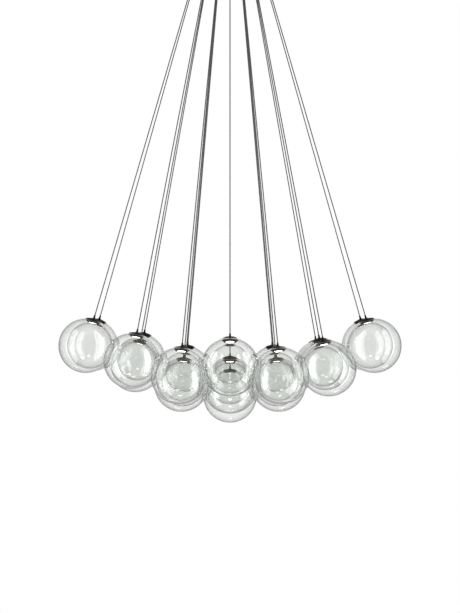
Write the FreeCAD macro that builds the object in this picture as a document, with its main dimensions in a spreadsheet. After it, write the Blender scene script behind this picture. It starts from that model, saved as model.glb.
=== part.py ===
import FreeCAD, Part
import math
import os

import Sketcher

# Cluster pendant: 23 clear glass globes hang on taut cords from one round ceiling canopy.
# Frame: origin at the centre of the ceiling face, +Z up, +X to the right, +Y to the back.
# The globes stand in seven rows that run front to back. Row 1 is on the left, row 7 on the right.
# All lengths are in millimetres.

SIZES = {
    # the globes and how they hang
    "globe_diameter": 150,
    "glass_wall": 3,
    "globe_gap": 1,
    "side_spread": 2,
    "centre_drop": 1168,
    "rise_ring": 35,
    "rise_shoulder": 64,
    "rise_waist": 85,
    "rise_end": 89,
    "rise_corner": 101,
    "rise_wing": 141,
    "low_pair_drop": 20,
    # the cord and its seats
    "cord_diameter": 3,
    "cord_clearance": 0.15,
    "cord_ledge": 0.5,
    # the lamp head, from the light source outwards
    "module_radius": 11.8,
    "module_clearance": 0.2,
    "collar_wall": 4,
    "rim_width": 6,
    "rim_edge": 0.8,
    "shoulder_width": 5,
    "shoulder_rise": 2.8,
    "cone_rise": 3.1,
    "neck_length": 8.8,
    "neck_wall": 0.65,
    "neck_taper": 0.6,
    "neck_flare": 6,
    "neck_bore_depth": 7,
    "cap_wall": 1.4,
    "collar_depth": 7,
    "collar_lip": 1.5,
    "collar_foot": 4.6,
    "lens_step": 1.1,
    "lens_clearance": 0.2,
    "lens_flange": 2,
    "lens_crown": 1.8,
    # the swivel at the top of each cord
    "ball_wall": 4.35,
    "ball_clearance": 0.3,
    "ball_seat_height": 2,
    "stem_wall": 1.6,
    "stem_length": 7,
    "sway_room": 2.85,
    "mouth_land": 0.2,
    "seat_wall": 2.1,
    "seat_clearance": 0.2,
    "seat_flange": 2,
    "seat_flange_width": 2.6,
    "nut_wall": 1.2,
    "nut_height": 3.5,
    "seat_above_nut": 1,
    # the ceiling canopy
    "outlet_pitch": 39,
    "pan_margin": 36.8,
    "pan_wall": 2,
    "pan_corner": 8,
    "ceiling_gap": 0.5,
    "plate_clearance": 0.3,
    "plate_thickness": 3,
    "plate_rim_depth": 18,
    "plate_rim_wall": 3,
    "fixing_inset": 30,
    "fixing_hole_radius": 3,
    "inlet_radius": 9,
    "bush_wall": 4.9,
    "bush_clearance": 0.1,
    "bush_flange": 2,
    "bush_flange_width": 3.1,
    "side_screw_edge": 6,
    "side_screw_radius": 2,
    "side_screw_clearance": 0.2,
    "side_screw_end": 1.7,
    "side_head_width": 2.2,
    "side_head_height": 2.4,
    # what the canopy holds
    "wire_room": 13.4,
    "driver_gap": 5,
    "driver_length": 148,
    "driver_width": 46,
    "driver_height": 28,
    "driver_corner": 4,
    "driver_ear_length": 10,
    "driver_ear_width": 16,
    "driver_ear_thickness": 2,
    "terminal_gap": 8,
    "terminal_width": 22,
    "terminal_height": 16,
    "terminal_pitch": 10,
    "terminal_bore_radius": 2.4,
    "terminal_bore_depth": 6,
    "terminal_well_radius": 1.8,
    "terminal_well_inset": 5,
    "terminal_foot_length": 8,
    "terminal_foot_thickness": 3,
    "earth_screw_gap": 14,
    "inner_screw_radius": 1.7,
    "inner_screw_recess": 0.5,
    "inner_head_width": 1.5,
    "inner_head_height": 2,
}

# globes in each row, from row 1 to row 7
ROW_COUNTS = (2, 3, 4, 5, 4, 3, 2)
MIDDLE_ROW = 4
TERMINAL_POLES = 3

# Lengths that follow from the sizes. Heights on the lamp head are from the plane of the rim,
# and heights on the swivel are from the centre of its ball.
CORD_BORE = "(size.cord_diameter / 2 + size.cord_clearance)"
LEAD_HOLE = "(size.cord_diameter / 2 - size.cord_ledge)"
GLOBE_RADIUS = "(size.globe_diameter / 2)"
GLOBE_INSIDE = "(size.globe_diameter / 2 - size.glass_wall)"

MODULE_BORE = "(size.module_radius + size.module_clearance)"
THREAD_RADIUS = f"({MODULE_BORE} + size.collar_wall)"
RIM_RADIUS = f"({THREAD_RADIUS} + size.rim_width)"
RIM_HEIGHT = f"sqrt({GLOBE_RADIUS}^2 - {RIM_RADIUS}^2)"
SHOULDER_HEIGHT = "(size.rim_edge + size.shoulder_rise)"
CAP_INSIDE = f"({SHOULDER_HEIGHT} - size.cap_wall)"
NECK_BASE_HEIGHT = f"({SHOULDER_HEIGHT} + size.cone_rise)"
NECK_TIP_RADIUS = f"({CORD_BORE} + size.neck_wall)"
NECK_BASE_RADIUS = f"({NECK_TIP_RADIUS} + size.neck_taper)"
NECK_TIP_HEIGHT = f"({NECK_BASE_HEIGHT} + size.neck_length)"
CORD_FOOT = f"({NECK_TIP_HEIGHT} - size.neck_bore_depth)"
LENS_RADIUS = "(size.module_radius - size.lens_step)"
LIP_BORE = f"({LENS_RADIUS} + size.lens_clearance)"
LIP_TOP = "(size.collar_lip - size.collar_depth)"
COLLAR_FOOT_RADIUS = f"({LIP_BORE} + size.collar_foot)"
LENS_TOP = f"({LIP_TOP} + size.lens_flange)"

BALL_RADIUS = f"({CORD_BORE} + size.ball_wall)"
SOCKET_RADIUS = f"({BALL_RADIUS} + size.ball_clearance)"
STEM_RADIUS = f"({LEAD_HOLE} + size.stem_wall)"
STEM_TOP = f"({BALL_RADIUS} + size.stem_length)"
MOUTH_RADIUS = f"({CORD_BORE} + size.sway_room)"
MOUTH_HEIGHT = f"(-sqrt({SOCKET_RADIUS}^2 - {MOUTH_RADIUS}^2))"
FLANGE_LOW = f"({MOUTH_HEIGHT} - size.mouth_land)"
FLANGE_TOP = f"({FLANGE_LOW} + size.seat_flange)"
NUT_LOW = f"({FLANGE_TOP} + size.pan_wall)"
SEAT_TOP = f"({NUT_LOW} + size.nut_height + size.seat_above_nut)"
SEAT_RADIUS = f"({SOCKET_RADIUS} + size.seat_wall)"

# depths below the ceiling face
BALL_DEPTH = f"(size.plate_thickness + size.driver_height + size.wire_room + {STEM_TOP})"
PAN_DEPTH = f"({BALL_DEPTH} - {FLANGE_TOP})"
SCREW_DEPTH = "(size.plate_rim_depth - size.side_screw_edge)"

OUTLET_COLUMN = "size.outlet_pitch * sqrt(3) / 2"
PAN_RADIUS = f"(sqrt((3 * {OUTLET_COLUMN})^2 + (size.outlet_pitch / 2)^2) + size.pan_margin)"
PAN_INSIDE = f"({PAN_RADIUS} - size.pan_wall)"
PLATE_RADIUS = f"({PAN_INSIDE} - size.plate_clearance)"
PLATE_INSIDE = f"({PLATE_RADIUS} - size.plate_rim_wall)"
BUSH_RADIUS = "(size.inlet_radius + size.bush_wall)"
BUSH_FLANGE_RADIUS = f"({BUSH_RADIUS} + size.bush_flange_width)"
DRIVER_PLACE = f"({BUSH_FLANGE_RADIUS} + size.driver_gap + size.driver_width / 2)"
DRIVER_SCREW = "(size.driver_length / 2 + size.driver_ear_length / 2)"
TERMINAL_PLACE = f"({BUSH_FLANGE_RADIUS} + size.terminal_gap + size.terminal_width / 2)"
TERMINAL_LENGTH = f"({TERMINAL_POLES} * size.terminal_pitch)"
TERMINAL_SCREW = f"({TERMINAL_LENGTH} / 2 + size.terminal_foot_length / 2)"
EARTH_SCREW = f"({TERMINAL_SCREW} + size.earth_screw_gap)"

doc = FreeCAD.newDocument("cluster_pendant")
sheet = doc.addObject("Spreadsheet::Sheet", "size")
for line, (alias, value) in enumerate(SIZES.items(), start=1):
    sheet.set(f"A{line}", alias)
    sheet.set(f"B{line}", str(value))
    sheet.setAlias(f"B{line}", alias)
doc.recompute()

UP = FreeCAD.Vector(0, 0, 1)


def value_of(formula):
    """The number that a formula of the sheet's sizes gives."""
    return float(sheet.evalExpression(str(formula)))


def origin_part(body, role):
    """One of the body's own origin planes or axes."""
    for feature in body.Origin.OriginFeatures:
        if feature.Role == role:
            return feature
    raise ValueError(role)


def new_body(name):
    body = doc.addObject("PartDesign::Body", name)
    body.Label = name
    return body


def new_sketch(body, name, role="XZ_Plane", lift=None):
    """A sketch on one of the body's origin planes, lifted along its normal by a formula."""
    sketch = body.newObject("Sketcher::SketchObject", name)
    sketch.AttachmentSupport = [(origin_part(body, role), "")]
    sketch.MapMode = "FlatFace"
    if lift is not None:
        sketch.setExpression("AttachmentOffset.Base.z", lift)
    return sketch


def bind(sketch, constraint, formula):
    """Adds a dimension and ties it to a formula."""
    index = sketch.addConstraint(constraint)
    sketch.setExpression(f"Constraints[{index}]", str(formula))


def pin_point(sketch, edge, end, across, up):
    """Ties one point of an edge to its place in the sketch."""
    for kind, formula, axis in (("DistanceX", across, -2), ("DistanceY", up, -1)):
        if str(formula) == "0":
            sketch.addConstraint(Sketcher.Constraint("PointOnObject", edge, end, axis))
        else:
            place_of_point = Sketcher.Constraint(kind, -1, 1, edge, end, value_of(formula))
            bind(sketch, place_of_point, formula)


def round_edge(start, finish, radius, anticlockwise):
    """The short arc from start to finish, and which of its ends is which."""
    chord = finish - start
    left = FreeCAD.Vector(-chord.y, chord.x, 0).normalize()
    offset = math.sqrt(max(radius**2 - (chord.Length / 2) ** 2, 0))
    middle = (start + finish) / 2
    centre = middle + left * (offset if anticlockwise else -offset)
    first, last = (start, finish) if anticlockwise else (finish, start)
    first_angle = math.atan2(first.y - centre.y, first.x - centre.x)
    last_angle = math.atan2(last.y - centre.y, last.x - centre.x)
    if last_angle <= first_angle:
        last_angle += 2 * math.pi
    arc = Part.ArcOfCircle(Part.Circle(centre, UP, radius), first_angle, last_angle)
    return arc, ((1, 2) if anticlockwise else (2, 1))


def outline(sketch, corners, arcs=None):
    """A closed outline through corners (across, up). The edge that leaves a corner is a
    line, or where arcs has the corner's number, an arc (radius, goes anticlockwise)."""
    arcs = arcs or {}
    points = [FreeCAD.Vector(value_of(across), value_of(up), 0) for across, up in corners]
    base = sketch.GeometryCount
    ends = []
    for number, start in enumerate(points):
        finish = points[(number + 1) % len(points)]
        if number in arcs:
            radius, anticlockwise = arcs[number]
            edge, order = round_edge(start, finish, value_of(radius), anticlockwise)
        else:
            edge, order = Part.LineSegment(start, finish), (1, 2)
        sketch.addGeometry(edge, False)
        ends.append(order)
    for number, corner in enumerate(corners):
        after = (number + 1) % len(corners)
        edge = base + number
        meet = Sketcher.Constraint("Coincident", edge, ends[number][1], base + after, ends[after][0])
        sketch.addConstraint(meet)
        pin_point(sketch, edge, ends[number][0], *corner)
    for number, (radius, _) in arcs.items():
        bind(sketch, Sketcher.Constraint("Radius", base + number, value_of(radius)), radius)


def circle(sketch, across, up, radius):
    """A circle whose centre and radius follow formulas."""
    centre = FreeCAD.Vector(value_of(across), value_of(up), 0)
    edge = sketch.addGeometry(Part.Circle(centre, UP, value_of(radius)), False)
    pin_point(sketch, edge, 3, across, up)
    bind(sketch, Sketcher.Constraint("Radius", edge, value_of(radius)), radius)


def rectangle(sketch, left, right, low, high):
    outline(sketch, [(left, low), (right, low), (right, high), (left, high)])


def revolve(body, sketch):
    feature = body.newObject("PartDesign::Revolution", sketch.Name + "_turn")
    feature.Profile = sketch
    feature.ReferenceAxis = (sketch, ["V_Axis"])
    feature.Angle = 360
    body.Tip = feature
    return feature


def pad(body, sketch, length, downwards=False):
    feature = body.newObject("PartDesign::Pad", sketch.Name + "_pad")
    feature.Profile = sketch
    feature.setExpression("Length", str(length))
    feature.Reversed = downwards
    body.Tip = feature
    return feature


def cut(body, sketch, depth=None, upwards=False, both_ways=False):
    """Cuts a sketch out of the body: to a depth, or right through it."""
    doc.recompute()
    before = body.Shape.Volume
    feature = body.newObject("PartDesign::Pocket", sketch.Name + "_cut")
    feature.Profile = sketch
    if depth is None:
        feature.Type = "ThroughAll"
    else:
        feature.setExpression("Length", str(depth))
    if both_ways:
        feature.SideType = "Symmetric"
    feature.Reversed = upwards
    body.Tip = feature
    doc.recompute()
    if body.Shape.Volume > before - 1:
        raise ValueError(f"{feature.Name} cuts nothing")
    return feature


def ring_of(body, feature, count):
    """Repeats a feature about the body's own Z axis, evenly round the circle."""
    before = body.Shape.Volume
    pattern = body.newObject("PartDesign::PolarPattern", feature.Name + "_ring")
    pattern.Originals = [feature]
    pattern.Axis = (origin_part(body, "Z_Axis"), [""])
    pattern.Angle = 360
    pattern.Occurrences = count
    body.Tip = pattern
    doc.recompute()
    if body.Shape.Volume > before - 1:
        raise ValueError(f"{pattern.Name} cuts nothing")
    return pattern


def turned(name, corners, arcs=None):
    """A turned piece: an outline of (radius, height) corners revolved about its Z axis."""
    body = new_body(name)
    sketch = new_sketch(body, name + "_outline")
    outline(sketch, corners, arcs)
    revolve(body, sketch)
    return body


def stand(piece, base, direction=UP):
    """Stands a piece at a point with its own Z axis along a direction."""
    turn = FreeCAD.Rotation(UP, direction)
    piece.Placement = FreeCAD.Placement(base, turn)
    return piece


def group(name, pieces):
    """Pieces that share a node, each still a solid of its own."""
    compound = doc.addObject("Part::Compound", name)
    compound.Label = name
    compound.Links = pieces
    return compound


# The lay-out


def rise_of(row, step):
    """How far a globe's centre hangs above the lowest one, by its place in the packing."""
    side = abs(row - MIDDLE_ROW)
    from_middle = abs(step - (ROW_COUNTS[row - 1] - 1) / 2)
    if side == 3:
        return value_of("size.rise_wing")
    if side == 2 and from_middle == 0:
        return value_of("size.rise_waist")
    if side == 2:
        drop = value_of("size.low_pair_drop") if row > MIDDLE_ROW else 0
        return value_of("size.rise_corner") - drop
    if side == 1 and from_middle > 1:
        return value_of("size.rise_shoulder")
    if from_middle > 1:
        return value_of("size.rise_end")
    if side == 1 or from_middle > 0:
        return value_of("size.rise_ring")
    return 0


def lay_out():
    """For each pendant: its row, its ball's centre, its globe's centre and its cord's way up."""
    pitch = value_of("size.globe_diameter + size.globe_gap")
    spread = value_of("size.side_spread")
    outlet_pitch = value_of("size.outlet_pitch")
    ball_level = -value_of(BALL_DEPTH)
    lowest = ball_level - value_of("size.centre_drop")
    column = math.sqrt(3) / 2
    places = []
    for row, count in enumerate(ROW_COUNTS, start=1):
        side = row - MIDDLE_ROW
        across = side * column * pitch
        if side:
            across += math.copysign(spread, side)
        for step in range(count):
            back = step - (count - 1) / 2
            ball = FreeCAD.Vector(side * column * outlet_pitch, back * outlet_pitch, ball_level)
            globe = FreeCAD.Vector(across, back * pitch, lowest + rise_of(row, step))
            places.append((row, ball, globe, (ball - globe).normalize()))
    return places


# The pieces of a pendant


def make_globe(number, globe, way_up):
    """Blown glass ball, open at the top, where a ground cone fits the collar."""
    name = f"glass_globe_{number:02d}"
    body = new_body(name)
    sketch = new_sketch(body, name + "_outline")
    outer = value_of(GLOBE_RADIUS)
    inner = value_of(GLOBE_INSIDE)
    rim = FreeCAD.Vector(value_of(RIM_RADIUS), value_of(RIM_HEIGHT), 0)
    # where the ground cone meets the inside of the glass
    slope = (rim.x - value_of(COLLAR_FOOT_RADIUS)) / value_of("size.collar_depth")
    apex = rim.y - rim.x / slope
    reach = math.sqrt(inner**2 * (1 + slope**2) - (slope * apex) ** 2)
    level = (slope**2 * apex + reach) / (1 + slope**2)
    foot = FreeCAD.Vector(slope * (level - apex), level, 0)
    for radius, top in ((outer, rim), (inner, foot)):
        whole = Part.Circle(FreeCAD.Vector(0, 0, 0), UP, radius)
        arc = Part.ArcOfCircle(whole, -math.pi / 2, math.atan2(top.y, top.x))
        sketch.addGeometry(arc, False)
    sketch.addGeometry(Part.LineSegment(foot, rim), False)
    bottoms = (FreeCAD.Vector(0, -outer, 0), FreeCAD.Vector(0, -inner, 0))
    sketch.addGeometry(Part.LineSegment(*bottoms), False)
    for arc, cone_end, bottom_end in ((0, 2, 1), (1, 1, 2)):
        sketch.addConstraint(Sketcher.Constraint("Coincident", arc, 3, -1, 1))
        sketch.addConstraint(Sketcher.Constraint("Coincident", arc, 2, 2, cone_end))
        sketch.addConstraint(Sketcher.Constraint("Coincident", arc, 1, 3, bottom_end))
        sketch.addConstraint(Sketcher.Constraint("PointOnObject", arc, 1, -2))
    bind(sketch, Sketcher.Constraint("Radius", 0, outer), GLOBE_RADIUS)
    bind(sketch, Sketcher.Constraint("Radius", 1, inner), GLOBE_INSIDE)
    bind(sketch, Sketcher.Constraint("DistanceX", -1, 1, 0, 2, rim.x), RIM_RADIUS)
    cone_angle = f"atan(size.collar_depth / ({RIM_RADIUS} - {COLLAR_FOOT_RADIUS}))"
    bind(sketch, Sketcher.Constraint("Angle", 2, math.atan(1 / slope)), cone_angle)
    revolve(body, sketch)
    return stand(body, globe, way_up)


def make_cap(number, rim, way_up):
    """Turned cone with a needle neck. The cord goes in at the tip and stops on a ledge."""
    corners = [
        (RIM_RADIUS, "0"),
        (RIM_RADIUS, "size.rim_edge"),
        (f"{RIM_RADIUS} - size.shoulder_width", SHOULDER_HEIGHT),
        (NECK_BASE_RADIUS, NECK_BASE_HEIGHT),
        (NECK_TIP_RADIUS, NECK_TIP_HEIGHT),
        (CORD_BORE, NECK_TIP_HEIGHT),
        (CORD_BORE, CORD_FOOT),
        (LEAD_HOLE, CORD_FOOT),
        (LEAD_HOLE, CAP_INSIDE),
        (THREAD_RADIUS, CAP_INSIDE),
        (THREAD_RADIUS, "0"),
    ]
    body = turned(f"cap_{number:02d}", corners)
    doc.recompute()
    # the flare between the neck and the cone
    radius = value_of(NECK_BASE_RADIUS)
    level = value_of(NECK_BASE_HEIGHT)
    cone = body.Tip
    for index, edge in enumerate(cone.Shape.Edges, start=1):
        if not isinstance(edge.Curve, Part.Circle):
            continue
        if abs(edge.Curve.Radius - radius) < 1e-4 and abs(edge.Curve.Center.z - level) < 1e-4:
            flare = body.newObject("PartDesign::Fillet", body.Name + "_flare")
            flare.Base = (cone, [f"Edge{index}"])
            flare.setExpression("Radius", "size.neck_flare")
            body.Tip = flare
            break
    return stand(body, rim, way_up)


def make_collar(number, rim, way_up):
    """Turned ring in the glass. Its outer cone is the seat for the glass, its inner lip
    carries the lens, and the cap screws on over its top."""
    corners = [
        (RIM_RADIUS, "0"),
        (THREAD_RADIUS, "0"),
        (THREAD_RADIUS, CAP_INSIDE),
        (MODULE_BORE, CAP_INSIDE),
        (MODULE_BORE, LIP_TOP),
        (LIP_BORE, LIP_TOP),
        (LIP_BORE, "-size.collar_depth"),
        (COLLAR_FOOT_RADIUS, "-size.collar_depth"),
    ]
    return stand(turned(f"collar_{number:02d}", corners), rim, way_up)


def make_lens(number, rim, way_up):
    """Frosted lens: a flange on the collar's lip, a short barrel and a low dome."""
    dome = f"(({LENS_RADIUS}^2 + size.lens_crown^2) / (2 * size.lens_crown))"
    corners = [
        ("0", LENS_TOP),
        ("0", "-size.collar_depth - size.lens_crown"),
        (LENS_RADIUS, "-size.collar_depth"),
        (LENS_RADIUS, LIP_TOP),
        ("size.module_radius", LIP_TOP),
        ("size.module_radius", LENS_TOP),
    ]
    return stand(turned(f"lens_{number:02d}", corners, {1: (dome, True)}), rim, way_up)


def make_light(number, rim, way_up):
    """Round light source on its heat sink, held between the lens and the cap."""
    corners = [
        (LEAD_HOLE, LENS_TOP),
        ("size.module_radius", LENS_TOP),
        ("size.module_radius", CAP_INSIDE),
        (LEAD_HOLE, CAP_INSIDE),
    ]
    return stand(turned(f"light_{number:02d}", corners), rim, way_up)


def make_ball(number, ball, way_up):
    """Swivel ball with a clamp stem on top. The cord goes in from below to a ledge."""
    corners = [
        (CORD_BORE, f"-sqrt({BALL_RADIUS}^2 - {CORD_BORE}^2)"),
        (STEM_RADIUS, f"sqrt({BALL_RADIUS}^2 - {STEM_RADIUS}^2)"),
        (STEM_RADIUS, STEM_TOP),
        (LEAD_HOLE, STEM_TOP),
        (LEAD_HOLE, "size.ball_seat_height"),
        (CORD_BORE, "size.ball_seat_height"),
    ]
    return stand(turned(f"ball_{number:02d}", corners, {0: (BALL_RADIUS, True)}), ball, way_up)


def make_cord(number, ball, globe, way_up):
    """Taut round cord, straight from its ledge in the cap to its ledge in the ball."""
    cord = doc.addObject("Part::Cylinder", f"cord_{number:02d}")
    cord.setExpression("Radius", "size.cord_diameter / 2")
    foot = globe + way_up * value_of(f"{RIM_HEIGHT} + {CORD_FOOT}")
    head = ball + way_up * value_of("size.ball_seat_height")
    cord.Height = (head - foot).Length
    return stand(cord, foot, way_up)


def make_pendants(places):
    """Every globe is a node. The other pieces of a row's pendants share a node each."""
    nodes = []
    rows = {row: {"caps": [], "lights": [], "balls": [], "cords": []} for row in range(1, 8)}
    lengths = []
    for number, (row, ball, globe, way_up) in enumerate(places, start=1):
        rim = globe + way_up * value_of(RIM_HEIGHT)
        nodes.append(make_globe(number, globe, way_up))
        rows[row]["caps"].append(make_cap(number, rim, way_up))
        rows[row]["caps"].append(make_collar(number, rim, way_up))
        rows[row]["lights"].append(make_lens(number, rim, way_up))
        rows[row]["lights"].append(make_light(number, rim, way_up))
        rows[row]["balls"].append(make_ball(number, ball, way_up))
        cord = make_cord(number, ball, globe, way_up)
        rows[row]["cords"].append(cord)
        lengths.append(cord.Height.Value)
    for row, pieces in rows.items():
        nodes.append(group(f"caps_row_{row}", pieces["caps"]))
        nodes.append(group(f"led_modules_row_{row}", pieces["lights"]))
        nodes.append(group(f"swivel_balls_row_{row}", pieces["balls"]))
        nodes.append(group(f"cords_row_{row}", pieces["cords"]))
    print("cord lengths, mm:", " ".join(f"{length:.0f}" for length in lengths))
    return nodes


# The canopy


def make_seats(places):
    """Ball seats: a socket through the canopy floor, its flange below and a nut above."""
    corners = [
        (MOUTH_RADIUS, MOUTH_HEIGHT),
        (SOCKET_RADIUS, "0"),
        (SOCKET_RADIUS, SEAT_TOP),
        (SEAT_RADIUS, SEAT_TOP),
        (SEAT_RADIUS, FLANGE_TOP),
        (f"{SEAT_RADIUS} + size.seat_flange_width", FLANGE_TOP),
        (f"{SEAT_RADIUS} + size.seat_flange_width", FLANGE_LOW),
        (MOUTH_RADIUS, FLANGE_LOW),
    ]
    seats = []
    nuts = []
    for number, (_, ball, _, _) in enumerate(places, start=1):
        seat = turned(f"seat_{number:02d}", corners, {0: (SOCKET_RADIUS, True)})
        seats.append(stand(seat, ball))
        blank = doc.addObject("Part::Prism", f"nut_blank_{number:02d}")
        blank.Polygon = 6
        blank.setExpression("Circumradius", f"({SEAT_RADIUS} + size.nut_wall) / cos(30)")
        blank.setExpression("Height", "size.nut_height")
        bore = doc.addObject("Part::Cylinder", f"nut_bore_{number:02d}")
        bore.setExpression("Radius", SEAT_RADIUS)
        bore.setExpression("Height", "size.nut_height")
        nut = doc.addObject("Part::Cut", f"nut_{number:02d}")
        nut.Base = blank
        nut.Tool = bore
        nuts.append(stand(nut, ball + UP * value_of(NUT_LOW)))
    return [group("swivel_seats", seats), group("seat_nuts", nuts)]


def make_pan():
    """Round canopy pan with a rounded lower corner, 23 outlets and four side holes."""
    name = "canopy_pan"
    centre_radius = f"{PAN_RADIUS} - size.pan_corner"
    centre_level = f"size.pan_corner - {PAN_DEPTH}"
    corners = [
        ("0", f"-{PAN_DEPTH}"),
        (centre_radius, f"-{PAN_DEPTH}"),
        (PAN_RADIUS, centre_level),
        (PAN_RADIUS, "-size.ceiling_gap"),
        (PAN_INSIDE, "-size.ceiling_gap"),
        (PAN_INSIDE, centre_level),
        (centre_radius, f"size.pan_wall - {PAN_DEPTH}"),
        ("0", f"size.pan_wall - {PAN_DEPTH}"),
    ]
    inner_corner = "(size.pan_corner - size.pan_wall)"
    body = turned(name, corners, {1: ("size.pan_corner", True), 5: (inner_corner, False)})
    outlets = new_sketch(body, name + "_outlets", "XY_Plane")
    for row, count in enumerate(ROW_COUNTS, start=1):
        side = row - MIDDLE_ROW
        across = f"{side} * {OUTLET_COLUMN}" if side else "0"
        for step in range(count):
            back = step - (count - 1) / 2
            along = f"{back} * size.outlet_pitch" if back else "0"
            circle(outlets, across, along, f"{SEAT_RADIUS} + size.seat_clearance")
    cut(body, outlets)
    for plane in ("XZ_Plane", "YZ_Plane"):
        holes = new_sketch(body, f"{name}_{plane[:2]}_holes", plane)
        clear = "size.side_screw_radius + size.side_screw_clearance"
        circle(holes, "0", f"-{SCREW_DEPTH}", clear)
        cut(body, holes, both_ways=True)
    return body


def make_plate():
    """Ceiling plate: a dished disc with a cable inlet, four fixing holes, screw holes for
    what it carries and four tapped holes in its rim for the pan's side screws."""
    name = "ceiling_plate"
    corners = [
        ("0", "0"),
        ("0", "-size.plate_thickness"),
        (PLATE_INSIDE, "-size.plate_thickness"),
        (PLATE_INSIDE, "-size.plate_rim_depth"),
        (PLATE_RADIUS, "-size.plate_rim_depth"),
        (PLATE_RADIUS, "0"),
    ]
    body = turned(name, corners)
    inlet = new_sketch(body, name + "_inlet", "XY_Plane")
    circle(inlet, "0", "0", f"{BUSH_RADIUS} + size.bush_clearance")
    cut(body, inlet)
    fixing = new_sketch(body, name + "_fixing", "XY_Plane")
    along = f"({PAN_RADIUS} - size.fixing_inset) * cos(45)"
    circle(fixing, along, along, "size.fixing_hole_radius")
    ring_of(body, cut(body, fixing), 4)
    taps = new_sketch(body, name + "_taps", "XY_Plane")
    for across, up in screw_places():
        circle(taps, across, up, "size.inner_screw_radius")
    cut(body, taps)
    for plane in ("XZ_Plane", "YZ_Plane"):
        holes = new_sketch(body, f"{name}_{plane[:2]}_taps", plane)
        circle(holes, "0", f"-{SCREW_DEPTH}", "size.side_screw_radius")
        cut(body, holes, both_ways=True)
    return body


def screw_places():
    """Formulas for the places of the screws under the plate."""
    return [
        (DRIVER_SCREW, DRIVER_PLACE),
        (f"-{DRIVER_SCREW}", DRIVER_PLACE),
        (TERMINAL_SCREW, f"-{TERMINAL_PLACE}"),
        (f"-{TERMINAL_SCREW}", f"-{TERMINAL_PLACE}"),
        (EARTH_SCREW, f"-{TERMINAL_PLACE}"),
    ]


def make_screw(name, radius, head_width, head_height, length):
    """Screw with a domed head: the face under the head is at height 0, the shank below."""
    head_radius = f"({radius} + {head_width})"
    dome = f"(({head_radius}^2 + {head_height}^2) / (2 * {head_height}))"
    corners = [
        ("0", f"-{length}"),
        (radius, f"-{length}"),
        (radius, "0"),
        (head_radius, "0"),
        ("0", head_height),
    ]
    return turned(name, corners, {3: (dome, True)})


def make_side_screws():
    """The four screws that hold the pan on the plate's rim."""
    grip = "size.pan_wall + size.plate_clearance + size.plate_rim_wall"
    length = f"({grip} + size.side_screw_end)"
    sizes = ("size.side_screw_radius", "size.side_head_width", "size.side_head_height", length)
    screws = []
    for number in range(4):
        angle = number * math.pi / 2
        outwards = FreeCAD.Vector(math.cos(angle), math.sin(angle), 0)
        base = outwards * value_of(PAN_RADIUS) - UP * value_of(SCREW_DEPTH)
        screws.append(stand(make_screw(f"side_screw_{number + 1}", *sizes), base, outwards))
    return group("canopy_screws", screws)


def make_inner_screws():
    """The screws under the plate: two for the driver, two for the terminals, one for earth."""
    ears = ["size.driver_ear_thickness"] * 2 + ["size.terminal_foot_thickness"] * 2 + ["0"]
    screws = []
    for number, ((across, up), ear) in enumerate(zip(screw_places(), ears), start=1):
        length = f"({ear} + size.plate_thickness - size.inner_screw_recess)"
        sizes = ("size.inner_screw_radius", "size.inner_head_width", "size.inner_head_height")
        screw = make_screw(f"inner_screw_{number}", *sizes, length)
        level = -value_of(f"size.plate_thickness + {ear}")
        base = FreeCAD.Vector(value_of(across), value_of(up), level)
        screws.append(stand(screw, base, -UP))
    return group("inner_screws", screws)


def make_bush():
    """Rubber bush that lines the cable inlet, with its flange under the plate."""
    low = "-size.plate_thickness - size.bush_flange"
    corners = [
        ("size.inlet_radius", "0"),
        ("size.inlet_radius", low),
        (BUSH_FLANGE_RADIUS, low),
        (BUSH_FLANGE_RADIUS, "-size.plate_thickness"),
        (BUSH_RADIUS, "-size.plate_thickness"),
        (BUSH_RADIUS, "0"),
    ]
    return turned("inlet_bush", corners)


def make_driver():
    """Driver box screwed under the plate by an ear at each end."""
    name = "led_driver"
    body = new_body(name)
    block = new_sketch(body, name + "_block", "XY_Plane")
    half_length = "size.driver_length / 2"
    half_width = "size.driver_width / 2"
    round_x = f"({half_length} - size.driver_corner)"
    round_y = f"({half_width} - size.driver_corner)"
    corners = [
        (f"-{round_x}", f"-{half_width}"),
        (round_x, f"-{half_width}"),
        (half_length, f"-{round_y}"),
        (half_length, round_y),
        (round_x, half_width),
        (f"-{round_x}", half_width),
        (f"-{half_length}", round_y),
        (f"-{half_length}", f"-{round_y}"),
    ]
    arcs = {number: ("size.driver_corner", True) for number in (1, 3, 5, 7)}
    outline(block, corners, arcs)
    pad(body, block, "size.driver_height", downwards=True)
    ears = new_sketch(body, name + "_ears", "XY_Plane")
    reach = "(size.driver_length / 2 + size.driver_ear_length)"
    half_ear = "size.driver_ear_width / 2"
    rectangle(ears, f"-{reach}", reach, f"-{half_ear}", half_ear)
    pad(body, ears, "size.driver_ear_thickness", downwards=True)
    holes = new_sketch(body, name + "_holes", "XY_Plane")
    for across in (DRIVER_SCREW, f"-{DRIVER_SCREW}"):
        circle(holes, across, "0", "size.inner_screw_radius")
    cut(body, holes)
    level = -value_of("size.plate_thickness")
    return stand(body, FreeCAD.Vector(0, value_of(DRIVER_PLACE), level))


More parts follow.
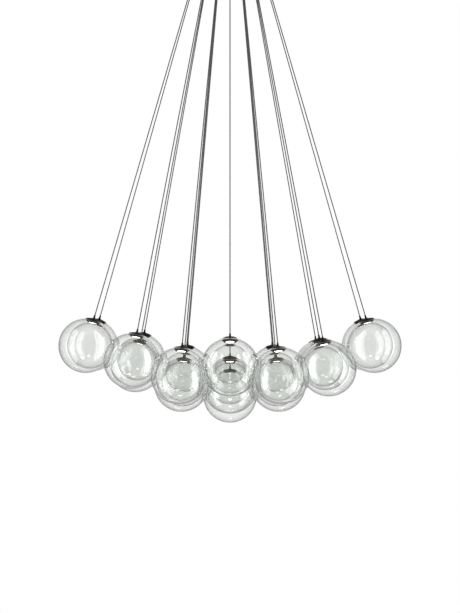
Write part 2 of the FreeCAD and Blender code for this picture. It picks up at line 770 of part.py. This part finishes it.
def make_terminal():
    """Terminal block: three through bores for wires, two clamp wells to each, two feet."""
    name = "terminal_block"
    body = new_body(name)
    half_length = f"{TERMINAL_LENGTH} / 2"
    half_width = "size.terminal_width / 2"
    block = new_sketch(body, name + "_body", "XY_Plane")
    rectangle(block, f"-{half_length}", half_length, f"-{half_width}", half_width)
    pad(body, block, "size.terminal_height", downwards=True)
    feet = new_sketch(body, name + "_feet", "XY_Plane")
    reach = f"({half_length} + size.terminal_foot_length)"
    half_foot = "size.terminal_width / 4"
    rectangle(feet, f"-{reach}", reach, f"-{half_foot}", half_foot)
    pad(body, feet, "size.terminal_foot_thickness", downwards=True)
    bores = new_sketch(body, name + "_bores", "XZ_Plane")
    wells = new_sketch(body, name + "_wells", "XY_Plane", "-size.terminal_height")
    inset = "(size.terminal_width / 2 - size.terminal_well_inset)"
    for number in range(TERMINAL_POLES):
        place = number - (TERMINAL_POLES - 1) / 2
        across = f"{place} * size.terminal_pitch" if place else "0"
        circle(bores, across, "-size.terminal_bore_depth", "size.terminal_bore_radius")
        for along in (inset, f"-{inset}"):
            circle(wells, across, along, "size.terminal_well_radius")
    cut(body, bores, both_ways=True)
    cut(body, wells, "size.terminal_height - size.terminal_bore_depth", upwards=True)
    holes = new_sketch(body, name + "_holes", "XY_Plane")
    for across in (TERMINAL_SCREW, f"-{TERMINAL_SCREW}"):
        circle(holes, across, "0", "size.inner_screw_radius")
    cut(body, holes)
    level = -value_of("size.plate_thickness")
    return stand(body, FreeCAD.Vector(0, -value_of(TERMINAL_PLACE), level))


places = lay_out()
nodes = make_pendants(places)
nodes += make_seats(places)
nodes += [make_pan(), make_plate(), make_bush(), make_driver(), make_terminal()]
nodes += [make_side_screws(), make_inner_screws()]
doc.recompute()

for item in doc.Objects:
    if any(state in ("Invalid", "Error") for state in item.State):
        raise RuntimeError(f"{item.Name} failed: {item.State}")
for node in nodes:
    shape = node.Shape
    if shape.isNull() or not shape.isValid() or not shape.Solids:
        raise RuntimeError(f"{node.Label} has no valid solid")

os.makedirs("parts", exist_ok=True)
for node in nodes:
    node.Shape.exportStep(f"parts/{node.Label}.step")
print(len(nodes), "nodes written")
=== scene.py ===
import math

import bmesh
import bpy
from mathutils import Matrix, Vector


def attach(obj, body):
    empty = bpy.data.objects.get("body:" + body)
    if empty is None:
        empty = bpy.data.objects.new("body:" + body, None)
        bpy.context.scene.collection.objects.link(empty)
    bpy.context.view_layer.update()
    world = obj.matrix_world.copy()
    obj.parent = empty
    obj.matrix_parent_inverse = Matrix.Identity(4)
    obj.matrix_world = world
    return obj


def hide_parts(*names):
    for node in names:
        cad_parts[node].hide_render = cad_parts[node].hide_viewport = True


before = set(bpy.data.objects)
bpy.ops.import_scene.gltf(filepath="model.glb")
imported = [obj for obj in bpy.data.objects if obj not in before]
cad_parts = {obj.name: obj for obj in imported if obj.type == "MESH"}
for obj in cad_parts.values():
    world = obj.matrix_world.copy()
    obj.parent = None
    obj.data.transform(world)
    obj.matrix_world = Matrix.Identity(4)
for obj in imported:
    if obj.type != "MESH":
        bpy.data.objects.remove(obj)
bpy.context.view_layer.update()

scene = bpy.context.scene
scene.view_settings.view_transform = "Standard"

# ---------------------------------------------------------------- sizes
# Millimetres, as in the part. The glass is thinner here than in the part and the lens's dome is
# flatter, as the photograph shows them.

MM = 0.001

GLOBE_RADIUS = 75
GLASS_WALL = 2
RIM = 71.6994  # from a globe's centre to the plane of its rim
RIM_RADIUS = 22
LIP = (21.9, 71.62)  # the ground cone's upper edge, from the globe's centre
GROUND_FOOT = (20.48, 70.07)  # the ground cone's lower edge

# the cap, the collar and what they hold; heights are above the plane of the rim
THREAD_RADIUS = 16
SHOULDER = (17, 3.4)
NECK_BASE = (2.9, 6.7)
NECK_TIP = (2.3, 15.5)
CORD_BORE = 1.65
LEAD_HOLE = 1.0
CORD_FOOT = 8.5  # the ledge that the cord stands on
CAP_INSIDE = 2.25
COLLAR_TOP = 2.15
COLLAR_DEPTH = 7
COLLAR_FOOT_RADIUS = 15.9
MODULE_BORE = 12
LIP_BORE = 10.95
LIP_TOP = -5.5
LENS_RADIUS = 10.7
LENS_CROWN = 0.5
LENS_LOW = -7.4
LENS_TOP = -3.52
MODULE_RADIUS = 11.8

# the swivels; heights are above the ball's centre
BALL_RADIUS = 6
STEM_RADIUS = 2.6
CORD_HEAD = 2.0  # the ledge that the cord reaches
SOCKET_RADIUS = 6.3
SEAT_RADIUS = 8.4
SEAT_TOP = 3.89
PAN_UNDERSIDE = -2.61
FLANGE_RADIUS = 11
FLANGE_LOW = -4.61

# Seven rows from left to right, each from front to back: how far a globe hangs above the lowest.
RISES = (
    (141, 141),
    (101, 85, 101),
    (64, 35, 35, 64),
    (89, 35, 0, 35, 89),
    (64, 35, 35, 64),
    (81, 85, 81),
    (141, 141),
)
GLOBE_PITCH = 151
SIDE_ROW_SHIFT = 2
OUTLET_PITCH = 39
BALL_LEVEL = -57.4
LOWEST = BALL_LEVEL - 1168


def lay_out():
    """For each pendant: its number, its row, the globe's centre, the ball's centre and the way up."""
    places = []
    for row, rises in enumerate(RISES, start=1):
        side = row - (len(RISES) + 1) // 2
        column = side * math.sqrt(3) / 2
        across = column * GLOBE_PITCH + (math.copysign(SIDE_ROW_SHIFT, side) if side else 0)
        for step, rise in enumerate(rises):
            back = step - (len(rises) - 1) / 2
            ball = Vector((column * OUTLET_PITCH, back * OUTLET_PITCH, BALL_LEVEL))
            globe = Vector((across, back * GLOBE_PITCH, LOWEST + rise))
            places.append((len(places) + 1, row, globe, ball, (ball - globe).normalized()))
    return places


PENDANTS = lay_out()


def upright(base, way_up):
    """The placement, in metres, of a piece whose own origin is at base and own Z is way_up."""
    turn = Vector((0, 0, 1)).rotation_difference(way_up)
    return Matrix.Translation(base * MM) @ turn.to_matrix().to_4x4()


# ---------------------------------------------------------------- the camera
# Fitted to the photograph's globes, caps and cords.

TILT_UP = 0.0214

view = bpy.data.cameras.new("camera")
view.lens = 72.82
view.sensor_width = 36
view.clip_end = 50
camera = bpy.data.objects.new("camera", view)
camera.location = (0, -3.472, -1.0498)
camera.rotation_euler = (math.pi / 2 + TILT_UP, 0, 0)
scene.collection.objects.link(camera)
scene.camera = camera

# ---------------------------------------------------------------- materials


class Tree:
    """A node tree, with short calls for adding to it."""

    def __init__(self, tree):
        self.tree = tree

    def add(self, kind, **values):
        node = self.tree.nodes.new(kind)
        for key, value in values.items():
            setattr(node, key, value)
        return node

    def link(self, start, finish):
        self.tree.links.new(start, finish)

    def math(self, operation, first, second=None):
        node = self.add("ShaderNodeMath", operation=operation)
        for socket, value in zip(node.inputs, (first, second)):
            if isinstance(value, (int, float)):
                socket.default_value = value
            elif value is not None:
                self.link(value, socket)
        return node.outputs[0]

    def times(self, first, *others):
        for other in others:
            first = self.math("MULTIPLY", first, other)
        return first

    def inverse(self, factor):
        return self.math("SUBTRACT", 1.0, factor)

    def span(self, factor, low, high, start=0.0, finish=1.0, kind="LINEAR"):
        """From low, where the factor is start, to high, where it is finish, and level beyond."""
        node = self.add("ShaderNodeMapRange", interpolation_type=kind)
        node.inputs["From Min"].default_value = start
        node.inputs["From Max"].default_value = finish
        node.inputs["To Min"].default_value = low
        node.inputs["To Max"].default_value = high
        self.link(factor, node.inputs["Value"])
        return node.outputs["Result"]


class Finish(Tree):
    """A material's node tree."""

    def __init__(self, name):
        self.material = bpy.data.materials.new(name)
        self.material.use_nodes = True
        super().__init__(self.material.node_tree)
        self.shader = self.tree.nodes["Principled BSDF"]
        self.output = self.tree.nodes["Material Output"]

    def set(self, **values):
        for key, value in values.items():
            self.shader.inputs[key.replace("_", " ")].default_value = value

    def place(self, kind="Object"):
        return self.add("ShaderNodeTexCoord").outputs[kind]

    def radius(self):
        """Distance from the piece's own Z axis, in metres."""
        parts = self.add("ShaderNodeSeparateXYZ")
        self.link(self.place(), parts.inputs[0])
        squares = [self.math("POWER", parts.outputs[axis], 2) for axis in "XY"]
        return self.math("SQRT", self.math("ADD", *squares))

    def noise(self, scale, detail, rough=0.55):
        node = self.add("ShaderNodeTexNoise")
        node.inputs["Scale"].default_value = scale
        node.inputs["Detail"].default_value = detail
        node.inputs["Roughness"].default_value = rough
        self.link(self.place(), node.inputs["Vector"])
        return node.outputs["Fac"]

    def ramp(self, factor, stops):
        node = self.add("ShaderNodeValToRGB")
        while len(node.color_ramp.elements) < len(stops):
            node.color_ramp.elements.new(0.5)
        for element, (position, colour) in zip(node.color_ramp.elements, stops):
            element.position = position
            element.color = (*colour, 1)
        self.link(factor, node.inputs["Fac"])
        return node.outputs["Color"]

    def mottled(self, noise, dark, light, finish=0.7):
        """A base colour that drifts between two tones."""
        self.link(self.ramp(noise, [(0.3, dark), (finish, light)]), self.shader.inputs["Base Color"])

    def roughness(self, noise, low, high):
        self.link(self.span(noise, low, high), self.shader.inputs["Roughness"])

    def bump(self, height, distance, strength):
        node = self.add("ShaderNodeBump")
        node.inputs["Strength"].default_value = strength
        node.inputs["Distance"].default_value = distance
        self.link(height, node.inputs["Height"])
        self.link(node.outputs["Normal"], self.shader.inputs["Normal"])

    def turning_marks(self, pitch, depth):
        """Fine rings about the piece's own Z axis. Pitch and depth are in metres."""
        wave = self.math("SINE", self.math("MULTIPLY", self.radius(), 2 * math.pi / pitch))
        self.bump(wave, depth, 0.6)


def glass():
    """Clear blown glass, almost colourless, with a faint green-grey cast."""
    n = Finish("clear_glass")
    n.set(Base_Color=(0.979, 0.986, 0.979, 1), Roughness=0.0, IOR=1.5, Transmission_Weight=1.0)
    n.bump(n.noise(14, 1.5, 0.4), 0.0006, 0.04)
    # light on its way to other things passes straight through the wall
    path = n.add("ShaderNodeLightPath").outputs
    through = n.add("ShaderNodeBsdfTransparent")
    through.inputs["Color"].default_value = (0.91, 0.92, 0.915, 1)
    mixed = n.add("ShaderNodeMixShader")
    n.link(n.math("MAXIMUM", path["Is Shadow Ray"], path["Is Diffuse Ray"]), mixed.inputs["Fac"])
    n.link(n.shader.outputs[0], mixed.inputs[1])
    n.link(through.outputs[0], mixed.inputs[2])
    n.link(mixed.outputs[0], n.output.inputs["Surface"])
    return n.material


def dark_metal():
    """Turned, blackened brass: fine turning marks, satin, a little lighter on worn spots."""
    n = Finish("dark_metal")
    n.set(Metallic=0.0, Specular_IOR_Level=0.12)
    n.mottled(n.noise(160, 4), (0.012, 0.0105, 0.008), (0.022, 0.019, 0.015), finish=0.75)
    n.roughness(n.noise(420, 2), 0.30, 0.46)
    n.turning_marks(0.0005, 0.00001)
    return n.material


def dark_paint():
    """Matt powder paint, with its fine orange peel."""
    n = Finish("dark_paint")
    n.set(Metallic=0.0, Specular_IOR_Level=0.4)
    n.mottled(n.noise(35, 3), (0.0155, 0.0135, 0.011), (0.020, 0.0175, 0.0145))
    n.roughness(n.noise(500, 2), 0.42, 0.55)
    n.bump(n.noise(1100, 2), 0.00006, 0.5)
    return n.material


def frosted_lens():
    """Frosted diffuser, lit from inside: near white, warmer towards its rim."""
    n = Finish("frosted_lens")
    n.set(Base_Color=(0.86, 0.85, 0.82, 1), Roughness=0.5, Emission_Strength=5.5)
    outwards = n.span(n.radius(), 0.0, 1.0, 0.0, MODULE_RADIUS * MM)
    glow = n.ramp(outwards, [(0.0, (1.0, 0.955, 0.87)), (0.7, (1.0, 0.925, 0.80)), (1.0, (1.0, 0.80, 0.58))])
    n.link(glow, n.shader.inputs["Emission Color"])
    n.bump(n.noise(2600, 2), 0.00003, 0.5)
    return n.material


def grey_cord():
    """Clear jacket over twisted tinned wire. Painted shade: the base colour is light in the middle and
    darkened along its edges, where a clear jacket looks dark.
    """
    n = Finish("grey_cord")
    n.set(Roughness=0.28, IOR=1.46)
    painted_shade_mask = n.add("ShaderNodeLayerWeight")
    painted_shade_mask.inputs["Blend"].default_value = 0.45
    twist = n.add("ShaderNodeTexWave", wave_type="BANDS", bands_direction="DIAGONAL")
    twist.inputs["Scale"].default_value = 60
    twist.inputs["Distortion"].default_value = 0.4
    n.link(n.place("UV"), twist.inputs["Vector"])
    wire = n.ramp(twist.outputs["Fac"], [(0.2, (0.11, 0.107, 0.102)), (0.8, (0.25, 0.245, 0.236))])
    # painted shade: the base colour goes near black where the cord's surface turns away from view
    edge = n.add("ShaderNodeMix", data_type="RGBA")
    edge.inputs["B"].default_value = (0.035, 0.034, 0.032, 1)
    n.link(painted_shade_mask.outputs["Facing"], edge.inputs["Factor"])
    n.link(wire, edge.inputs["A"])
    n.link(edge.outputs["Result"], n.shader.inputs["Base Color"])
    return n.material


def zinc_steel():
    """Zinc-plated sheet and fasteners, slightly mottled."""
    n = Finish("zinc_steel")
    n.set(Metallic=1.0)
    n.mottled(n.noise(90, 4, 0.7), (0.50, 0.51, 0.52), (0.62, 0.63, 0.64))
    n.roughness(n.noise(260, 3), 0.28, 0.44)
    n.bump(n.noise(700, 2), 0.00003, 0.4)
    return n.material


def driver_case():
    """Moulded plastic driver case with a fine spark-eroded texture."""
    n = Finish("driver_case")
    n.mottled(n.noise(60, 2), (0.74, 0.74, 0.72), (0.79, 0.79, 0.77))
    n.roughness(n.noise(400, 2), 0.40, 0.52)
    n.bump(n.noise(1600, 2), 0.00004, 0.6)
    return n.material


def white_plastic():
    """Milky terminal plastic."""
    n = Finish("white_plastic")
    n.set(Subsurface_Weight=0.15, Subsurface_Scale=0.002)
    n.mottled(n.noise(80, 2), (0.78, 0.77, 0.73), (0.84, 0.83, 0.79))
    n.roughness(n.noise(300, 2), 0.34, 0.44)
    n.bump(n.noise(900, 2), 0.00003, 0.4)
    return n.material


def black_rubber():
    """Dull rubber with a bloom."""
    n = Finish("black_rubber")
    n.set(Specular_IOR_Level=0.3)
    n.mottled(n.noise(140, 3), (0.018, 0.018, 0.018), (0.034, 0.033, 0.032))
    n.roughness(n.noise(300, 2), 0.62, 0.78)
    n.bump(n.noise(900, 2), 0.00005, 0.5)
    return n.material


def heat_sink():
    """Turned aluminium."""
    n = Finish("heat_sink")
    n.set(Metallic=1.0)
    n.mottled(n.noise(120, 3), (0.70, 0.70, 0.71), (0.78, 0.78, 0.79))
    n.roughness(n.noise(380, 2), 0.24, 0.36)
    n.turning_marks(0.0004, 0.000008)
    return n.material


MATERIALS = {
    "clear_glass": glass(),
    "dark_metal": dark_metal(),
    "dark_paint": dark_paint(),
    "frosted_lens": frosted_lens(),
    "grey_cord": grey_cord(),
    "zinc_steel": zinc_steel(),
    "driver_case": driver_case(),
    "white_plastic": white_plastic(),
    "black_rubber": black_rubber(),
    "heat_sink": heat_sink(),
}

# ---------------------------------------------------------------- turned shapes

ON_AXIS = 1e-6
ROUNDING_STEP = 0.22  # the turn of one step along a rounded corner, at most


def rounded(corners):
    """Points of an outline. A corner is (across, up) or (across, up, radius), in mm."""
    points = []
    for number, corner in enumerate(corners):
        here = Vector(corner[:2])
        radius = corner[2] if len(corner) > 2 else 0
        if not radius:
            points.append(here)
            continue
        before = Vector(corners[number - 1][:2]) - here
        after = Vector(corners[(number + 1) % len(corners)][:2]) - here
        half = before.angle(after) / 2
        reach = min(radius / math.tan(half), 0.48 * before.length, 0.48 * after.length)
        radius = reach * math.tan(half)
        middle = (before.normalized() + after.normalized()).normalized()
        centre = here + middle * (radius / math.sin(half))
        start = here + before.normalized() * reach - centre
        finish = here + after.normalized() * reach - centre
        turn = start.angle_signed(finish)
        steps = max(2, math.ceil(abs(turn) / ROUNDING_STEP))
        for step in range(steps + 1):
            points.append(centre + Matrix.Rotation(-turn * step / steps, 2) @ start)
    return points


def arc(radius, start, finish, steps, centre=0.0):
    """Points on a circle about (0, centre), from one angle to another, in degrees above the horizon."""
    angles = [math.radians(start + (finish - start) * step / steps) for step in range(steps + 1)]
    return [Vector((radius * math.cos(a), centre + radius * math.sin(a))) for a in angles]


def turned(name, outline, segments, sharp=0.5):
    """A mesh turned about Z from a closed outline in mm. A point on the axis is a single vertex."""
    bm = bmesh.new()
    turns = [2 * math.pi * k / segments for k in range(segments)]
    rings = []
    for across, up in outline:
        if across < ON_AXIS:
            rings.append([bm.verts.new((0, 0, up * MM))] * segments)
            continue
        rings.append([
            bm.verts.new((across * MM * math.cos(turn), across * MM * math.sin(turn), up * MM))
            for turn in turns
        ])
    for ring, after in zip(rings, rings[1:] + rings[:1]):
        for k in range(segments):
            m = (k + 1) % segments
            face = []
            for vertex in (ring[k], ring[m], after[m], after[k]):
                if vertex not in face:
                    face.append(vertex)
            if len(face) > 2:
                bm.faces.new(face)
    bmesh.ops.recalc_face_normals(bm, faces=bm.faces)
    for face in bm.faces:
        face.smooth = True
    for edge in bm.edges:
        if len(edge.link_faces) == 2 and edge.calc_face_angle() > sharp:
            edge.smooth = False
    mesh = bpy.data.meshes.new(name)
    bm.to_mesh(mesh)
    bm.free()
    return mesh


def add(name, mesh, material, body, placement, nodes):
    """Puts a mesh in the scene, on a body, in place of CAD nodes."""
    obj = bpy.data.objects.new(name, mesh)
    if not mesh.materials:
        mesh.materials.append(MATERIALS[material])
    scene.collection.objects.link(obj)
    obj.matrix_world = placement
    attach(obj, body)
    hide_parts(*nodes)


# ---------------------------------------------------------------- the cords
# Each hangs taut and straight, from the ledge in its ball to the ledge in its cap.

NEAR_CAP = 18  # a point on the straight route, this far above the lower ledge

for number, row, globe, ball, way_up in PENDANTS:
    head = (ball + way_up * CORD_HEAD) * MM
    foot = (globe + way_up * (RIM + CORD_FOOT)) * MM
    near_cap = foot + way_up * NEAR_CAP * MM
    curve = bpy.data.curves.new(f"cord_{number:02d}", "CURVE")
    curve.dimensions = "3D"
    curve.bevel_depth = 1.5 * MM
    curve.bevel_resolution = 4
    curve.resolution_u = 12
    spline = curve.splines.new("NURBS")
    spline.points.add(2)
    for point, spot in zip(spline.points, (head, near_cap, foot)):
        point.co = (*spot, 1)
    spline.order_u = 3
    spline.use_endpoint_u = True
    curve.materials.append(MATERIALS["grey_cord"])
    cord = bpy.data.objects.new(f"cord_{number:02d}", curve)
    scene.collection.objects.link(cord)
    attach(cord, f"row_{row}")
    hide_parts(f"cords_row_{row}")

# ---------------------------------------------------------------- the pendants


def globe_mesh():
    """Blown glass ball with a ground cone at its mouth. Its origin is its centre."""
    rim = math.degrees(math.atan2(RIM, RIM_RADIUS)) - 0.25
    foot = math.degrees(math.atan2(GROUND_FOOT[1], GROUND_FOOT[0]))
    outside = arc(GLOBE_RADIUS, -90, rim, 84)
    inside = arc(GLOBE_RADIUS - GLASS_WALL, foot, -90, 84)
    return turned("globe", outside + [Vector(LIP)] + inside, segments=144, sharp=0.7)


def cap_mesh():
    """Turned cap: a thin brim, a shallow cone with two fine grooves, and a needle neck."""
    slope = (NECK_BASE[1] - SHOULDER[1]) / (SHOULDER[0] - NECK_BASE[0])

    def cone(across, depth=0.0):
        return across, SHOULDER[1] + (SHOULDER[0] - across) * slope - depth

    def groove(outer, inner, depth, flank=0.15):
        return [
            (*cone(outer), 0.08), (*cone(outer - flank, depth), 0.05),
            (*cone(inner + flank, depth), 0.05), (*cone(inner), 0.08),
        ]

    corners = [
        (THREAD_RADIUS, 0.05), (21.95, 0.05, 0.3), (RIM_RADIUS, 0.7, 0.3), (*SHOULDER, 1.6),
        *groove(15.1, 14.4, 0.32), *groove(8.7, 8.05, 0.28),
        (*NECK_BASE, 6.0), (*NECK_TIP, 0.35), (CORD_BORE, NECK_TIP[1], 0.12), (CORD_BORE, CORD_FOOT),
        (LEAD_HOLE, CORD_FOOT), (LEAD_HOLE, CAP_INSIDE), (THREAD_RADIUS, CAP_INSIDE),
    ]
    return turned("cap", rounded(corners), segments=96)


def collar_mesh():
    """Turned collar: its outer cone seats the glass and its lip carries the lens."""
    chamfer = 0.25
    corners = [
        (RIM_RADIUS, -0.02), (16.1, 0.02), (16.1, COLLAR_TOP, 0.3), (MODULE_BORE, COLLAR_TOP, 0.3),
        (MODULE_BORE, LIP_TOP), (LIP_BORE, LIP_TOP), (LIP_BORE, chamfer - COLLAR_DEPTH),
        (11.25, -COLLAR_DEPTH), (COLLAR_FOOT_RADIUS, -COLLAR_DEPTH, 0.3), (21.98, -0.2),
    ]
    return turned("collar", rounded(corners), segments=96)


def lens_mesh():
    """Frosted lens: a flange on the collar's lip, a short barrel and a low dome."""
    sphere = (LENS_RADIUS**2 + LENS_CROWN**2) / (2 * LENS_CROWN)
    end = math.degrees(math.asin(10.45 / sphere))
    dome = arc(sphere, -90, -90 + end, 16, centre=LENS_LOW + sphere)
    corners = [
        (10.65, -6.9), (LENS_RADIUS, -6.6), (LENS_RADIUS, LIP_TOP), (MODULE_RADIUS, LIP_TOP),
        (MODULE_RADIUS, -3.7), (11.6, LENS_TOP), (0, LENS_TOP),
    ]
    return turned("lens", dome + rounded(corners), segments=72)


def light_mesh():
    """Round heat sink of the light source, with turned fins."""
    bottom, top = -3.48, 2.1
    fin, core = 11.7, 10.4
    grooves = [
        corner
        for low in (-1.9, -0.3)
        for corner in ((fin, low), (core, low + 0.1), (core, low + 0.8), (fin, low + 0.9))
    ]
    corners = [(LEAD_HOLE, bottom), (11.6, bottom, 0.2), *grooves, (fin, top, 0.3), (LEAD_HOLE, top)]
    return turned("heat_sink", rounded(corners), segments=64)


def ball_mesh():
    """Swivel ball with its clamp stem. Its origin is the ball's centre."""
    low = -math.degrees(math.acos(CORD_BORE / BALL_RADIUS))
    top = math.degrees(math.acos(STEM_RADIUS / BALL_RADIUS))
    corners = [
        (STEM_RADIUS, 11.4), (STEM_RADIUS, 11.8), (STEM_RADIUS, 12.9, 0.25), (LEAD_HOLE, 13.0),
        (LEAD_HOLE, CORD_HEAD), (CORD_BORE, CORD_HEAD),
    ]
    return turned("ball", arc(BALL_RADIUS, low, top, 28) + rounded(corners), segments=48)


def seat_mesh():
    """Ball seat: a socket through the canopy floor with a rounded flange below it."""
    mouth = -math.degrees(math.acos(4.5 / SOCKET_RADIUS))
    corners = [
        (SOCKET_RADIUS, SEAT_TOP), (SEAT_RADIUS, SEAT_TOP, 0.3), (SEAT_RADIUS, PAN_UNDERSIDE),
        (FLANGE_RADIUS, PAN_UNDERSIDE, 0.25), (FLANGE_RADIUS, FLANGE_LOW, 0.9), (5.1, FLANGE_LOW, 0.3),
    ]
    return turned("seat", arc(SOCKET_RADIUS, mouth, 0, 14) + rounded(corners), segments=64)


GLOBE, CAP, COLLAR, LENS, LIGHT, BALL, SEAT = (
    globe_mesh(), cap_mesh(), collar_mesh(), lens_mesh(), light_mesh(), ball_mesh(), seat_mesh()
)

for number, row, globe, ball, way_up in PENDANTS:
    body = f"row_{row}"
    at_globe = upright(globe, way_up)
    at_rim = upright(globe + way_up * RIM, way_up)
    add(f"globe_{number:02d}", GLOBE, "clear_glass", body, at_globe, [f"glass_globe_{number:02d}"])
    add(f"cap_{number:02d}", CAP, "dark_metal", body, at_rim, [f"caps_row_{row}"])
    add(f"collar_{number:02d}", COLLAR, "dark_metal", body, at_rim, [f"caps_row_{row}"])
    add(f"lens_{number:02d}", LENS, "frosted_lens", body, at_rim, [f"led_modules_row_{row}"])
    add(f"heat_sink_{number:02d}", LIGHT, "heat_sink", body, at_rim, [f"led_modules_row_{row}"])
    add(f"ball_{number:02d}", BALL, "dark_metal", body, upright(ball, way_up), [f"swivel_balls_row_{row}"])
    at_outlet = upright(ball, Vector((0, 0, 1)))
    add(f"seat_{number:02d}", SEAT, "dark_metal", "canopy", at_outlet, ["swivel_seats"])

# ---------------------------------------------------------------- the canopy
# These CAD nodes stay, and get their finishes.

CANOPY = {
    "ceiling_plate": "zinc_steel",
    "canopy_pan": "dark_paint",
    "seat_nuts": "zinc_steel",
    "canopy_screws": "dark_metal",
    "led_driver": "driver_case",
    "inner_screws": "zinc_steel",
    "terminal_block": "white_plastic",
    "inlet_bush": "black_rubber",
}

for node, material in CANOPY.items():
    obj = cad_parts[node]
    if not obj.material_slots:
        obj.data.materials.append(MATERIALS[material])
    for holder in obj.material_slots:
        holder.material = MATERIALS[material]

# ---------------------------------------------------------------- the lamps of the studio
# A tall softbox at each side. Gloss and glass are shown a brighter front of the same size.

SOFTBOX_SIZE = (0.53, 1.9)
SOFTBOX_AIM = Vector((0, -0.41, -1.10))
SOFTBOX_REACH = 0.91
FRONT_REACH = 0.90
SOFTBOX_RADIANCE = 1.6
FRONT_RADIANCE = 2.8


def softbox(name, reach, radiance):
    """An area lamp beside the globes, turned to them, and unseen by the camera."""
    width, height = SOFTBOX_SIZE
    data = bpy.data.lights.new(name, "AREA")
    data.shape = "RECTANGLE"
    data.size = width
    data.size_y = height
    data.energy = radiance * math.pi * width * height
    lamp = bpy.data.objects.new(name, data)
    scene.collection.objects.link(lamp)
    lamp.location = SOFTBOX_AIM + Vector((reach, 0, 0))
    lamp.rotation_euler = Vector((-reach, 0, 0)).to_track_quat("-Z", "Y").to_euler()
    lamp.visible_camera = False
    return lamp


for name, side in (("left", -1), ("right", 1)):
    soft = softbox(f"softbox_{name}", side * SOFTBOX_REACH, SOFTBOX_RADIANCE)
    soft.visible_glossy = soft.visible_transmission = False
    shown = softbox(f"front_{name}", side * FRONT_REACH, FRONT_RADIANCE)
    shown.visible_diffuse = False
    # only what is reflected shows the front, not what is seen straight through glass
    shown.data.use_nodes = True
    front = Tree(shown.data.node_tree)
    depth = front.add("ShaderNodeLightPath").outputs["Glossy Depth"]
    front.link(front.math("GREATER_THAN", depth, 0.5), front.tree.nodes["Emission"].inputs["Strength"])

# ---------------------------------------------------------------- the studio around the lamp
# White wherever it is seen straight or through glass. Reflections show a dim studio, with a white
# backdrop behind the lamp that fades out to its sides, its top and the floor. A strength of 1 is white.

STUDIO = 0.13
BACKDROP = 0.84
ROOM_LIGHT = 0.45

scene.world = bpy.data.worlds.new("studio")
scene.world.use_nodes = True
world = Tree(scene.world.node_tree)
background = world.tree.nodes["Background"]
path = world.add("ShaderNodeLightPath").outputs
direction = world.add("ShaderNodeSeparateXYZ")
world.link(world.add("ShaderNodeTexCoord").outputs["Generated"], direction.inputs[0])
sideways, behind, up = direction.outputs

backdrop = world.times(
    world.span(behind, 0.0, 1.0, 0.0, 0.1, "SMOOTHSTEP"),
    world.span(world.math("ABSOLUTE", sideways), 1.0, 0.0, 0.0, 0.56),
    world.span(up, 0.0, 1.0, -0.60, -0.02),
    world.span(up, 1.0, 0.0, 0.16, 0.62, "SMOOTHSTEP"),
    BACKDROP,
)
reflected = world.math("GREATER_THAN", path["Glossy Depth"], 0.5)
through_glass = world.times(path["Is Transmission Ray"], world.inverse(reflected))
white = world.math("MAXIMUM", path["Is Camera Ray"], through_glass)
mirrored = world.times(reflected, world.math("ADD", STUDIO, backdrop))
scattered = world.times(world.inverse(reflected), ROOM_LIGHT)
other = world.times(world.inverse(white), world.math("ADD", mirrored, scattered))
world.link(world.math("ADD", white, other), background.inputs["Strength"])
background.inputs["Color"].default_value = (1, 1, 1, 1)

# ---------------------------------------------------------------- the floor

FLOOR_LEVEL = -2.2
FLOOR_RADIUS = 1.3
FADE_FROM, FADE_TO = 0.75, 1.28
FLOOR_GLOW = 0.3  # added where the floor is looked at: nearly white, but with the shadow on it


def floor_finish():
    """Pale and matt, fading into the white around it, and open from below."""
    n = Finish("floor")
    n.set(Base_Color=(0.86, 0.86, 0.85, 1), Roughness=0.7, Emission_Color=(1, 1, 1, 1))
    faded = n.span(n.radius(), 1.0, 0.0, FADE_FROM, FADE_TO)
    below = n.add("ShaderNodeNewGeometry").outputs["Backfacing"]
    n.link(n.times(faded, n.inverse(below)), n.shader.inputs["Alpha"])
    path = n.add("ShaderNodeLightPath").outputs
    seen = n.math("MAXIMUM", path["Is Camera Ray"], path["Is Transmission Ray"])
    n.link(n.times(seen, FLOOR_GLOW), n.shader.inputs["Emission Strength"])
    return n.material


bm = bmesh.new()
bmesh.ops.create_circle(bm, cap_ends=True, segments=96, radius=FLOOR_RADIUS)
floor_mesh = bpy.data.meshes.new("floor")
bm.to_mesh(floor_mesh)
bm.free()
floor_mesh.materials.append(floor_finish())
floor = bpy.data.objects.new("floor", floor_mesh)
floor.location = (0, 0, FLOOR_LEVEL)
scene.collection.objects.link(floor)

# a straight path can cross seven globes, each with two walls of two faces, and reflections add to that
scene.cycles.max_bounces = 48
scene.cycles.transmission_bounces = 48
scene.cycles.transparent_max_bounces = 48
scene.cycles.glossy_bounces = 12
scene.cycles.diffuse_bounces = 4
